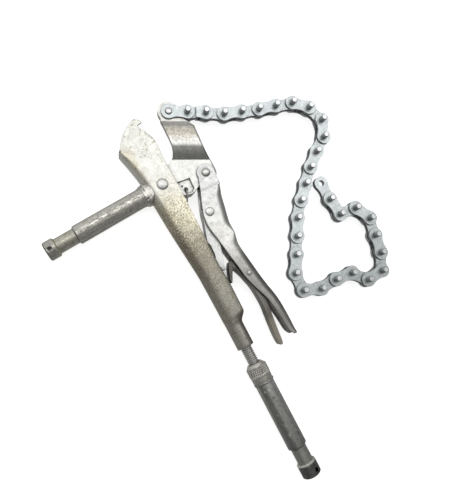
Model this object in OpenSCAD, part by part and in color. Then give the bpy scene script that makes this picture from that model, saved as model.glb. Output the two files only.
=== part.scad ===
// Locking chain pliers with a side spigot and a rear spigot.
// Lies flat, +Y from the rear spigot to the nose, +Z up, millimetres.

/* [Chain] */
// Distance between neighbouring chain pins
chain_pitch = 15.875; // [14:0.005:18]
// Chain pin diameter
pin_d = 5.08; // [4:0.02:6]
// Chain pin length
pin_len = 20; // [16:0.5:22]
// Link plate thickness
plate_t = 1.6; // [1.2:0.1:1.6]
// Link plate height at the pins
plate_h = 12.6; // [11:0.1:12.6]
// Link plate height at the waist
waist_h = 9.6; // [8:0.1:11]

/* [Fixed handle] */
// Sheet thickness of the fixed handle
handle_t = 2.4; // [1.8:0.1:3]
// Width over the two handle cheeks
handle_w = 16.6; // [15:0.1:18]
// Outside diameter of the rear sleeve
tube_d = 13.8; // [12.8:0.1:13.8]

/* [Jaw and lever] */
// Jaw plate thickness
jaw_t = 11.6; // [9:0.1:11.6]
// Jaw thickness at the bottom of the scoop
scoop_t = 4; // [3:0.1:5]
// Radius of the scoop in the jaw
scoop_r = 40; // [30:1:60]
// Sheet thickness of the lever
lever_t = 2; // [1.5:0.1:2.4]
// Width over the lever cheeks
lever_w = 17.2; // [16.5:0.1:18]
// Toggle link thickness
link_t = 10; // [6:0.1:10]
// Width of the release lever
release_w = 10.4; // [8:0.1:11]

/* [Spigots and screw] */
// Spigot diameter
spigot_d = 15.875; // [12:0.005:19]
// Spigot neck diameter
neck_d = 12.8; // [10:0.1:14]
// Cross hole diameter in the spigot tips
cross_d = 3.5; // [2:0.1:5]
// Screw thread outside diameter
screw_d = 9.525; // [8:0.005:9.6]
// Screw thread pitch
screw_pitch = 1.5875; // [1:0.0005:2]
// Knurled knob diameter
knob_d = 17.5; // [16:0.1:20]

/* [Fits] */
// Radial running clearance of the pivots
run_fit = 0.05; // [0.02:0.01:0.1]

/* [Hidden] */
$fn = 64;
eps = 0.02;

steel = [0.66, 0.65, 0.61];
dark_steel = [0.42, 0.41, 0.38];
bright_steel = [0.86, 0.86, 0.83];
zinc = [0.68, 0.71, 0.72];

// row frame: main pivot axis sits here, mid-plane of the tool at half pin length
main_x = -29.7;
main_y = 100.3;
mid_z = pin_len / 2;

// pivots, measured from the main pivot
B = [36.8, -6];
C = [24.1, -36.8];
D = [2, -114];
release_at = [29.5, -95.7];
pin_1 = [34.2, 54.7];

// fixed handle: cheek outline and back line
nose = [[4.1, 58.3], [6.8, 56.4], [8.6, 53.6], [7.6, 47.4], [7.3, 45.6], [8.6, 43],
    [10.4, 39.6], [11.4, 36], [11.7, 32]];
notch_at = [6.2, 50];
notch_turn = 12;
front = [[11.2, 20], [10.9, 9], [11.2, -18.5], [10.8, -56.8], [10.6, -79.5],
    [11.8, -95.8], [11.4, -121], [10, -124]];
back = [[-7, -124], [-7.1, -110], [-7.3, -80.3], [-11.7, -37.1], [-14.4, 10.9],
    [-19.8, 37.5]];
crown = [[-17.3, 40.6], [-13, 46.8], [-9, 50.9], [-4.7, 54.3], [0, 57.2]];
cheek_in = handle_w / 2 - handle_t;
tube_y = -147;
wall_y = -124;
bore_y = -121.5;
bore_r = 5.4;

// moving jaw
jaw_outline = [[0, 9], [13.8, 13.5], [18, 16.7], [20.6, 19.6], [22.6, 23.3],
    [24, 28], [24.4, 33], [24.8, 50.4], [25.9, 53.2], [34.2, 54.7], [40.9, 48.6],
    [44.3, 42.6], [48.8, 35.4], [47.9, 20.8], [46.4, 3.5], [46.2, -7.5],
    [45.5, -10], [44.1, -12.1], [42, -13.9], [39.4, -15.1], [36.4, -15.4],
    [33, -14.8], [28, -12.6], [22.4, -15.8], [19.4, -16.8], [13.7, -16], [4, -8]];
pocket = [[12, -3.2], [23, -4.1], [22.4, -13.6], [19.6, -15.9], [14.2, -15.2]];
scoop_dir = 65.7;
step_v = 21.2;
flat_v = 37;
pad_v = 50;
pad_top_v = 55;
pad_z = 2.45;

// lever
lever_left = [[25.7, -17.5], [25.2, -18.6], [21.8, -27], [19.5, -33], [17.8, -39.5],
    [17.3, -44.9], [17.8, -51], [19.3, -58], [22.9, -81.6], [25.4, -97.9],
    [28.5, -108], [33.4, -121], [36, -138], [37.2, -153.8], [38.2, -157.6]];
lever_right = [[42.6, -158.6], [43.6, -145], [43, -124.8], [38.9, -103.6],
    [34.6, -71.1], [35.5, -55.3], [40.2, -34], [43.5, -17.5]];
lever_hollow = [[60, -10], [0, -10], [0, -170], [40.6, -170], [41.5, -145],
    [40.9, -125], [36.9, -104], [32.6, -71], [33.5, -55], [38.1, -34],
    [41.2, -20.5], [60, -20.5]];
ear_in = 5.85;

// toggle link
link_outline = [[17.9, -36], [16.6, -41.5], [11.4, -57.5], [12.6, -62], [12, -70.5],
    [10.6, -74], [4.6, -90], [-2, -112], [6, -114.5], [9, -100], [12, -91],
    [14.2, -83], [19.5, -66], [25, -50], [30.2, -38]];
stud_at = [12.7, -82.8];

// release lever
release_outline = [[19.3, -80.1], [23.5, -81.2], [28, -86], [33.5, -93], [34, -99],
    [32.5, -108], [32.6, -125.3], [30.1, -141], [28.4, -157], [27, -159.3],
    [25.2, -158.6], [25.2, -148], [26.4, -136], [28, -123.9], [26.7, -105.2],
    [24, -95], [21, -87.5], [18.5, -88.2], [14.3, -96.4], [13.3, -96.2],
    [13.5, -92.7], [16.1, -85.8]];
release_hollow = [[22.6, -88], [25.6, -95], [28.2, -105], [29.5, -124], [28, -136],
    [60, -136], [60, -88]];

// side spigot: root point on the back of the handle and its direction
side_root = [-13.7, -1];
side_turn = 185;
side_body = 64.7;
side_neck = 80.9;
side_tip = 90;

// rear spigot and screw, distances along the screw axis
screw_tip_y = -123.5;
knob_y = -162;
cone_len = 2.6;
knurl_y = -173;
knob_end_y = -178;
rear_body_y = -236.4;
rear_neck_y = -249.6;
rear_tip_y = -261.5;

// chain links as they lie, direction of each link
lie = [-24, -25, -28, -16, -15, -12, -13, -39, -70, -114, -145, -141, -136, -135,
    -131, -121, -122, -123, -92, -22, 2, -7, -49, 3, 63, 78, 78, 119, 175, 97, 89];
inner_z = 0.8;
outer_z = inner_z + plate_t + 0.1;
pin_r = pin_d / 2;

function pin_at(k) = k == 1 ? pin_1
    : pin_at(k - 1) + chain_pitch * [cos(lie[k - 2]), sin(lie[k - 2])];

module in_row() translate([main_x, main_y, mid_z]) children();

// runs along the screw axis, z of the child becomes -Y
module along_screw(y) translate([0, y, 0]) rotate([90, 0, 0]) children();

module both_sides() {
    children();
    mirror([0, 0, 1]) children();
}

module slab(outline, half) translate([0, 0, -half])
    linear_extrude(height = 2 * half) polygon(outline);

module pin_hole(at, r) translate([at[0], at[1], -15]) cylinder(h = 30, r = r);

// rivet with a dome on each side
module rivet(at, shank_r, head_z, head_r, head_h) translate([at[0], at[1], 0])
    rotate_extrude() polygon(concat([[0, -head_z - 0.3 - head_h]],
        [for (a = [75 : -15 : 0]) [head_r * cos(a), -head_z - 0.3 - head_h * sin(a)]],
        [[head_r, -head_z], [shank_r, -head_z], [shank_r, head_z], [head_r, head_z]],
        [for (a = [0 : 15 : 75]) [head_r * cos(a), head_z + 0.3 + head_h * sin(a)]],
        [[0, head_z + 0.3 + head_h]]));

// turned spigot standing on z = 0, with a thicker root
module spigot(root, body, neck, tip) rotate_extrude() polygon([[0, 0],
    [spigot_d / 2 + 0.3, 0], [spigot_d / 2 + 0.3, root], [spigot_d / 2, root + 0.2],
    [spigot_d / 2, body - 0.9], [spigot_d / 2 - 0.9, body], [neck_d / 2, body],
    [neck_d / 2, neck], [spigot_d / 2 - 1, neck], [spigot_d / 2, neck + 1],
    [spigot_d / 2, tip - 0.8], [spigot_d / 2 - 0.8, tip], [0, tip]]);

module handle_body() color(steel) in_row() difference() {
    union() {
        difference() {
            slab(concat(nose, front, back, crown), handle_w / 2);
            slab([[-17.4, 38.4], [-12, 10.9], [-9.3, -37.1], [-4.9, -80.3],
                [-4.7, -110], [-4.6, bore_y], [20, bore_y], [20, 70], [-30, 70],
                [-30, 45]], cheek_in);
        }
        // lanced tab that holds the rear end of the spring
        translate([-8, -63, -3]) cube([8.5, 2.2, 6]);
    }
    along_screw(-115) cylinder(h = 20, r = bore_r);
    pin_hole([0, 0], 4);
    // notch that a chain pin hooks into
    pin_hole(notch_at, pin_r + 0.15);
    translate([notch_at[0], notch_at[1], 0]) rotate([0, 0, notch_turn])
        translate([0, -pin_r - 0.05, -15]) cube([12, pin_d + 0.1, 30]);
}

// threaded sleeve that the rear end of the handle is closed with
module rear_nut() color(steel) in_row() difference() {
    along_screw(wall_y - eps) cylinder(h = wall_y - tube_y, r = tube_d / 2);
    along_screw(-110) cylinder(h = 50, r = screw_d / 2 + run_fit);
}

module at_side_root() translate([side_root[0], side_root[1], 0])
    rotate([0, 0, side_turn]) rotate([0, 90, 0]) children();

module side_spigot() color(steel) in_row() difference() {
    at_side_root() translate([0, 0, -3]) spigot(9, side_body + 3, side_neck + 3, side_tip + 3);
    slab([back[3] - [eps, 0], back[4] - [eps, 0], [20, 11], [20, -37]], 12);
    at_side_root() translate([-15, 0, side_tip - 3.8]) rotate([0, 90, 0])
        cylinder(h = 30, r = cross_d / 2);
}

module spigot_weld() color(steel) in_row() difference() {
    intersection() {
        union() {
            at_side_root() translate([0, 0, -2]) cylinder(h = 3.5, r = 11.4);
            at_side_root() translate([0, 0, 1.5])
                cylinder(h = 4.5, r1 = 11.4, r2 = spigot_d / 2 + 0.5);
        }
        translate([-40, -20, -handle_w / 2]) cube([60, 40, handle_w]);
    }
    at_side_root() translate([0, 0, -5]) cylinder(h = 30, r = spigot_d / 2 + 0.3 + eps);
    slab([back[3] - [eps, 0], back[4] - [eps, 0], [20, 11], [20, -37]], 12);
}

module main_pivot_rivet() color(bright_steel) in_row()
    rivet([0, 0], 4, handle_w / 2 + eps, 4.7, 1.2);

module jaw_spring() color(dark_steel) in_row() translate([11.5, -26, 0])
    rotate([0, 0, -109.2]) rotate([0, 90, 0]) cylinder(h = 33, r = 3.2);

// everything cut from one side of the jaw: scoop, flat and tip pad
module jaw_cut() rotate([0, 0, scoop_dir]) translate([0, 60, 0]) rotate([90, 0, 0])
    linear_extrude(height = 120) polygon(concat(
        [for (i = [0 : 12]) let (v = step_v + (flat_v - step_v) * i / 12)
            [v, scoop_t / 2 + scoop_r - sqrt(scoop_r * scoop_r - (flat_v - v) * (flat_v - v))]],
        [[pad_v, scoop_t / 2], [pad_top_v, pad_z], [90, pad_z], [90, 20], [step_v, 20]]));

module moving_jaw() color(bright_steel) in_row() difference() {
    union() {
        slab(jaw_outline, jaw_t / 2);
        translate([0, 0, -jaw_t / 2]) {
            cylinder(h = jaw_t, r = 10);
            translate([pin_1[0], pin_1[1], 0]) cylinder(h = jaw_t, r = 9);
        }
    }
    both_sides() jaw_cut();
    translate([0, 0, jaw_t / 2 - 2]) linear_extrude(height = 4) polygon(pocket);
    pin_hole([16.3, -11.2], 1.65);
    translate([14.5, -7.5, jaw_t / 2 - 3.6]) cylinder(h = 6, r = 0.75);
    pin_hole([0, 0], 4 + run_fit);
    pin_hole(B, 3);
    pin_hole(pin_1, pin_r);
}

module chain_anchor_rivet() color(zinc) in_row()
    rivet(pin_1, pin_r, outer_z + plate_t + 0.1, 3.1, 1.2);

module jaw_lever_rivet() color(bright_steel) in_row()
    rivet(B, 3, ear_in + lever_t + eps, 3.7, 1.5);

module lever_handle() color(steel) in_row() difference() {
    union() {
        difference() {
            slab(concat(lever_left, lever_right), lever_w / 2);
            slab(lever_hollow, lever_w / 2 - lever_t);
        }
        both_sides() translate([0, 0, ear_in]) {
            translate([B[0], B[1], 0]) cylinder(h = lever_t, r = 7.4);
            linear_extrude(height = lever_t) polygon([[29.5, -7], [25.7, -17.3],
                [25.2, -19], [43.1, -19], [43.5, -17], [44.2, -6]]);
        }
    }
    pin_hole(B, 3 + run_fit);
    pin_hole(C, 3 + eps);
    pin_hole(release_at, 1.6);
}

module link_rivet() color(bright_steel) in_row()
    rivet(C, 3, lever_w / 2 + eps, 3.7, 0.9);

module release_rivet() color(bright_steel) in_row()
    rivet(release_at, 1.6, lever_w / 2 + eps, 2.15, 0.7);

module toggle_link() color(bright_steel) in_row() difference() {
    union() {
        slab(link_outline, link_t / 2);
        translate([C[0], C[1], -link_t / 2]) cylinder(h = link_t, r = 6.2);
        translate([D[0], D[1], -link_t / 2]) cylinder(h = link_t, r = 4.1);
        translate([stud_at[0], stud_at[1], -link_t / 2]) cylinder(h = link_t, r = 2.6);
    }
    pin_hole(C, 3 + run_fit);
    pin_hole(stud_at, 1.2);
}

module link_stud() color(steel) in_row()
    rivet(stud_at, 1.2, link_t / 2 + eps, 1.8, 0.3);

module release_lever() color(dark_steel) in_row() difference() {
    union() {
        slab(release_outline, release_w / 2);
        translate([release_at[0], release_at[1], -release_w / 2])
            cylinder(h = release_w, r = 4.5);
    }
    slab(release_hollow, release_w / 2 - 1.5);
    pin_hole(release_at, 1.6 + run_fit);
}

module knob_cone() color(steel) in_row() difference() {
    along_screw(knob_y) cylinder(h = cone_len, r1 = 6.2, r2 = knob_d / 2 - 0.6);
    along_screw(-150) cylinder(h = 40, r = screw_d / 2 + run_fit);
}

module adjusting_screw() color(steel) in_row() along_screw(screw_tip_y)
    rotate_extrude() polygon(concat([[0, 0], [3.2, 0], [screw_d / 2, 1.6]],
        [for (i = [0 : 22]) each [
            [screw_d / 2, 2 + i * screw_pitch], [screw_d / 2 - 0.75, 2.6 + i * screw_pitch],
            [screw_d / 2 - 0.75, 2.9 + i * screw_pitch],
            [screw_d / 2, 3.5 + i * screw_pitch]]],
        [[screw_d / 2, 53], [0, 53]]));

module knurled_knob() color(dark_steel) in_row() difference() {
    along_screw(knob_y - cone_len - eps) rotate_extrude() polygon([[0, 0],
        [knob_d / 2 - 0.6, 0], [knob_d / 2, 0.6],
        [knob_d / 2, knob_y - cone_len - knurl_y], [knob_d / 2 - 0.4, 9],
        [knob_d / 2 - 0.4, 11.6], [spigot_d / 2, knob_y - cone_len - knob_end_y - eps],
        [0, knob_y - cone_len - knob_end_y - eps]]);
    along_screw(-150) cylinder(h = 26.5 + eps, r = screw_d / 2 + eps);
}

module knob_weld() color(steel) in_row() along_screw(knob_end_y)
    rotate_extrude() polygon([[spigot_d / 2 + 0.3 + eps, 0.02], [spigot_d / 2 + 0.6, 0.02],
        [spigot_d / 2 + 0.75, 0.7], [spigot_d / 2 + 0.6, 1.3],
        [spigot_d / 2 + 0.3 + eps, 1.6]]);

module rear_spigot() color(dark_steel) in_row() difference() {
    along_screw(knob_end_y)
        spigot(1.6, knob_end_y - rear_body_y, knob_end_y - rear_neck_y,
            knob_end_y - rear_tip_y);
    along_screw(rear_tip_y + 4) rotate([0, 0, 62]) rotate([0, 90, 0])
        translate([0, 0, -15]) cylinder(h = 30, r = cross_d / 2);
}

// waisted link plate on z = 0, from pin to pin
module plate() difference() {
    union() {
        cylinder(h = plate_t, r = plate_h / 2);
        translate([chain_pitch, 0, 0]) cylinder(h = plate_t, r = plate_h / 2);
        translate([2, 0.5 - plate_h / 2, 0]) cube([chain_pitch - 4, plate_h - 1, plate_t]);
    }
    for (s = [-1, 1]) translate([chain_pitch / 2, s * (waist_h / 2 + 15), -1])
        cylinder(h = plate_t + 2, r = 15);
}

module chain_pin() translate([0, 0, -pin_len / 2]) {
    cylinder(h = 0.5, r1 = pin_r - 0.5, r2 = pin_r);
    translate([0, 0, 0.5]) cylinder(h = pin_len - 1, r = pin_r);
    translate([0, 0, pin_len - 0.5]) cylinder(h = 0.5, r1 = pin_r, r2 = pin_r - 0.5);
}

module link_frame(k) in_row() translate([pin_at(k)[0], pin_at(k)[1], 0])
    rotate([0, 0, lie[k - 1]]) children();

module inner_link(k) link_frame(k) difference() {
    union() {
        both_sides() translate([0, 0, inner_z]) plate();
        for (x = [0, chain_pitch]) translate([x, 0, -inner_z - 0.5])
            cylinder(h = 2 * inner_z + 1, r = 3.6);
    }
    for (x = [0, chain_pitch]) pin_hole([x, 0], pin_r + run_fit);
}

module outer_link(k) link_frame(k) {
    both_sides() translate([0, 0, outer_z]) plate();
    for (x = [0, chain_pitch]) translate([x, 0, 0]) chain_pin();
}

// first link: swings on the jaw rivet, carries one pin
module jaw_end_link(k) link_frame(k) {
    difference() {
        both_sides() translate([0, 0, outer_z]) plate();
        pin_hole([0, 0], pin_r + run_fit);
    }
    translate([chain_pitch, 0, 0]) chain_pin();
}

// cranked link: narrow end on the first pin, wide end with its own pin
module cranked_link(k) link_frame(k) {
    difference() {
        union() {
            both_sides() {
                intersection() {
                    translate([0, 0, inner_z]) plate();
                    translate([-10, -10, 0]) cube([19, 20, 10]);
                }
                intersection() {
                    translate([0, 0, outer_z]) plate();
                    translate([7.4, -10, 0]) cube([20, 20, 10]);
                }
                intersection() {
                    translate([0, 0, inner_z + plate_t - 0.2]) plate();
                    translate([7.4, -10, 0]) cube([1.6, 20, 10]);
                }
            }
            translate([0, 0, -inner_z - 0.5]) cylinder(h = 2 * inner_z + 1, r = 3.6);
        }
        pin_hole([0, 0], pin_r + run_fit);
    }
    translate([chain_pitch, 0, 0]) chain_pin();
}

module chain_link_01() color(zinc) jaw_end_link(1);
module chain_link_02() color(zinc) cranked_link(2);
module chain_link_03() color(zinc) inner_link(3);
module chain_link_04() color(zinc) outer_link(4);
module chain_link_05() color(zinc) inner_link(5);
module chain_link_06() color(zinc) outer_link(6);
module chain_link_07() color(zinc) inner_link(7);
module chain_link_08() color(zinc) outer_link(8);
module chain_link_09() color(zinc) inner_link(9);
module chain_link_10() color(zinc) outer_link(10);
module chain_link_11() color(zinc) inner_link(11);
module chain_link_12() color(zinc) outer_link(12);
module chain_link_13() color(zinc) inner_link(13);
module chain_link_14() color(zinc) outer_link(14);
module chain_link_15() color(zinc) inner_link(15);
module chain_link_16() color(zinc) outer_link(16);
module chain_link_17() color(zinc) inner_link(17);
module chain_link_18() color(zinc) outer_link(18);
module chain_link_19() color(zinc) inner_link(19);
module chain_link_20() color(zinc) outer_link(20);
module chain_link_21() color(zinc) inner_link(21);
module chain_link_22() color(zinc) outer_link(22);
module chain_link_23() color(zinc) inner_link(23);
module chain_link_24() color(zinc) outer_link(24);
module chain_link_25() color(zinc) inner_link(25);
module chain_link_26() color(zinc) outer_link(26);
module chain_link_27() color(zinc) inner_link(27);
module chain_link_28() color(zinc) outer_link(28);
module chain_link_29() color(zinc) inner_link(29);
module chain_link_30() color(zinc) outer_link(30);
module chain_link_31() color(zinc) inner_link(31);

handle_body();
rear_nut();
side_spigot();
spigot_weld();
main_pivot_rivet();
jaw_spring();
moving_jaw();
chain_anchor_rivet();
jaw_lever_rivet();
lever_handle();
link_rivet();
release_rivet();
toggle_link();
link_stud();
release_lever();
knob_cone();
adjusting_screw();
knurled_knob();
knob_weld();
rear_spigot();
chain_link_01();
chain_link_02();
chain_link_03();
chain_link_04();
chain_link_05();
chain_link_06();
chain_link_07();
chain_link_08();
chain_link_09();
chain_link_10();
chain_link_11();
chain_link_12();
chain_link_13();
chain_link_14();
chain_link_15();
chain_link_16();
chain_link_17();
chain_link_18();
chain_link_19();
chain_link_20();
chain_link_21();
chain_link_22();
chain_link_23();
chain_link_24();
chain_link_25();
chain_link_26();
chain_link_27();
chain_link_28();
chain_link_29();
chain_link_30();
chain_link_31();
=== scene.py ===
import math
import random

import bmesh
import bpy
from mathutils import Matrix, Vector


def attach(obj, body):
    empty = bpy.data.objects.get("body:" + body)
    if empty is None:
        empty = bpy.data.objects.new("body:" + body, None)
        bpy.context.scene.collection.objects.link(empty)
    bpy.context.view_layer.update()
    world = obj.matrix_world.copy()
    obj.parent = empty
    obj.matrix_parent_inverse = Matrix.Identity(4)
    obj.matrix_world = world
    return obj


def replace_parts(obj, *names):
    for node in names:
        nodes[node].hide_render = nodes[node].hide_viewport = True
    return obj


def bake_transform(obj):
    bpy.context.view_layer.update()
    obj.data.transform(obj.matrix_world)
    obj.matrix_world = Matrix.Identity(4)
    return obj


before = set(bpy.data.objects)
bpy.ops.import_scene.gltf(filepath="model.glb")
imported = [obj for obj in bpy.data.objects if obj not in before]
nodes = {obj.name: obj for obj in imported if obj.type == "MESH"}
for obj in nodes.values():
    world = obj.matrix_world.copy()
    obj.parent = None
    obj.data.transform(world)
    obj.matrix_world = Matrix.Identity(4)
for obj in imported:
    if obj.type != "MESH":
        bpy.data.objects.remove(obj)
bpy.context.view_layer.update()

MM = 0.001
# the main pivot axis and the mid-plane of the tool in the row frame, mm
OX, OY, OZ = -29.7, 100.3, 10.0
scene = bpy.context.scene
random.seed(7)


def at(x, y, z=0.0):
    return Vector(((x + OX) * MM, (y + OY) * MM, (z + OZ) * MM))


def smooth(t):
    t = min(1.0, max(0.0, t))
    return t * t * (3.0 - 2.0 * t)


def bump(y, mid, half):
    return smooth(1.0 - abs(y - mid) / half)


def line(points):
    """x as a function of y through (y, x) points, with the corners eased."""
    pts = sorted(points)

    def raw(y):
        if y <= pts[0][0]:
            return pts[0][1]
        for (y0, x0), (y1, x1) in zip(pts, pts[1:]):
            if y <= y1:
                return x0 + (x1 - x0) * (y - y0) / (y1 - y0)
        return pts[-1][1]

    def eased(y, reach=4.0):
        reach = max(0.01, min(reach, y - pts[0][0], pts[-1][0] - y))
        return sum(raw(y + reach * k / 3.0) for k in (-3, -2, -1, 0, 1, 2, 3)) / 7.0

    return eased


# ---------------------------------------------------------------- camera


def make_camera():
    data = bpy.data.cameras.new("photo_view")
    data.sensor_fit = "HORIZONTAL"
    data.sensor_width = 36.0
    data.lens = 38.4
    data.clip_start = 0.01
    data.clip_end = 20.0
    cam = bpy.data.objects.new("photo_view", data)
    scene.collection.objects.link(cam)
    turn = (
        Matrix.Rotation(math.radians(-28.4), 4, "Z")
        @ Matrix.Rotation(math.radians(-11.5), 4, "Y")
        @ Matrix.Rotation(math.radians(8.5), 4, "X")
    )
    cam.matrix_world = Matrix.Translation(at(-74.3, -84.3, 384.7)) @ turn
    scene.camera = cam
    return cam


make_camera()
scene.view_settings.view_transform = "Standard"
scene.view_settings.look = "None"

# ---------------------------------------------------------------- materials


def link(tree, a, b):
    tree.links.new(a, b)


def node(tree, kind, **values):
    n = tree.nodes.new(kind)
    for k, v in values.items():
        setattr(n, k, v)
    return n


def ramp(tree, fac, stops, mode="LINEAR"):
    r = node(tree, "ShaderNodeValToRGB")
    r.color_ramp.interpolation = mode
    els = r.color_ramp.elements
    while len(els) < len(stops):
        els.new(0.5)
    for e, (pos, col) in zip(els, stops):
        e.position = pos
        e.color = (*col, 1.0) if len(col) == 3 else col
    link(tree, fac, r.inputs["Fac"])
    return r.outputs["Color"]


def noise(tree, vec, scale, detail=3.0, rough=0.55):
    n = node(tree, "ShaderNodeTexNoise")
    n.inputs["Scale"].default_value = scale
    n.inputs["Detail"].default_value = detail
    n.inputs["Roughness"].default_value = rough
    link(tree, vec, n.inputs["Vector"])
    return n.outputs["Fac"]


def mix(tree, fac, a, b, how="MIX"):
    m = node(tree, "ShaderNodeMix", data_type="RGBA", blend_type=how)
    for value, socket in ((fac, m.inputs[0]), (a, m.inputs[6]), (b, m.inputs[7])):
        if isinstance(value, (int, float)):
            socket.default_value = value
        elif isinstance(value, tuple):
            socket.default_value = (*value, 1.0)
        else:
            link(tree, value, socket)
    return m.outputs[2]


def stretched(tree, vec, turn, sx, sy, sz):
    m = node(tree, "ShaderNodeMapping")
    m.inputs["Rotation"].default_value = (0.0, 0.0, math.radians(turn))
    m.inputs["Scale"].default_value = (sx, sy, sz)
    link(tree, vec, m.inputs["Vector"])
    return m.outputs["Vector"]


def math_node(tree, how, a, b=None, c=None, clamp=False):
    m = node(tree, "ShaderNodeMath", operation=how, use_clamp=clamp)
    for value, socket in zip((a, b, c), m.inputs):
        if value is None:
            continue
        if isinstance(value, (int, float)):
            socket.default_value = value
        else:
            link(tree, value, socket)
    return m.outputs[0]


def distance_along(tree, coord, x, y, turn):
    """mm along a direction in the ground plane, from a point measured from the main pivot."""
    d = node(tree, "ShaderNodeVectorMath", operation="DOT_PRODUCT")
    link(tree, coord, d.inputs[0])
    c, s = math.cos(math.radians(turn)), math.sin(math.radians(turn))
    d.inputs[1].default_value = (c * 1000.0, s * 1000.0, 0.0)
    return math_node(tree, "SUBTRACT", d.outputs["Value"], (x + OX) * c + (y + OY) * s)


def steps(tree, value, stops):
    """Piecewise linear function of a value in mm: stops are (mm, amount)."""
    lo, hi = stops[0][0], stops[-1][0]
    rng = node(tree, "ShaderNodeMapRange")
    rng.inputs["From Min"].default_value = lo
    rng.inputs["From Max"].default_value = hi
    link(tree, value, rng.inputs["Value"])
    return ramp(tree, rng.outputs[0], [((d - lo) / (hi - lo), (a, a, a)) for d, a in stops])


def upright(tree, lo=0.35, hi=0.85):
    """1 on faces that stand upright, 0 on faces that lie flat."""
    sep = node(tree, "ShaderNodeSeparateXYZ")
    link(tree, node(tree, "ShaderNodeNewGeometry").outputs["Normal"], sep.inputs[0])
    return ramp(tree, math_node(tree, "ABSOLUTE", sep.outputs["Z"]), [(lo, (1, 1, 1)), (hi, (0, 0, 0))])


def facing(tree, turn, lo, hi):
    """1 on faces that look along a direction in the ground plane."""
    d = node(tree, "ShaderNodeVectorMath", operation="DOT_PRODUCT")
    link(tree, node(tree, "ShaderNodeNewGeometry").outputs["Normal"], d.inputs[0])
    d.inputs[1].default_value = (math.cos(math.radians(turn)), math.sin(math.radians(turn)), 0.0)
    return ramp(tree, d.outputs["Value"], [(lo, (0, 0, 0)), (hi, (1, 1, 1))])


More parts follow.
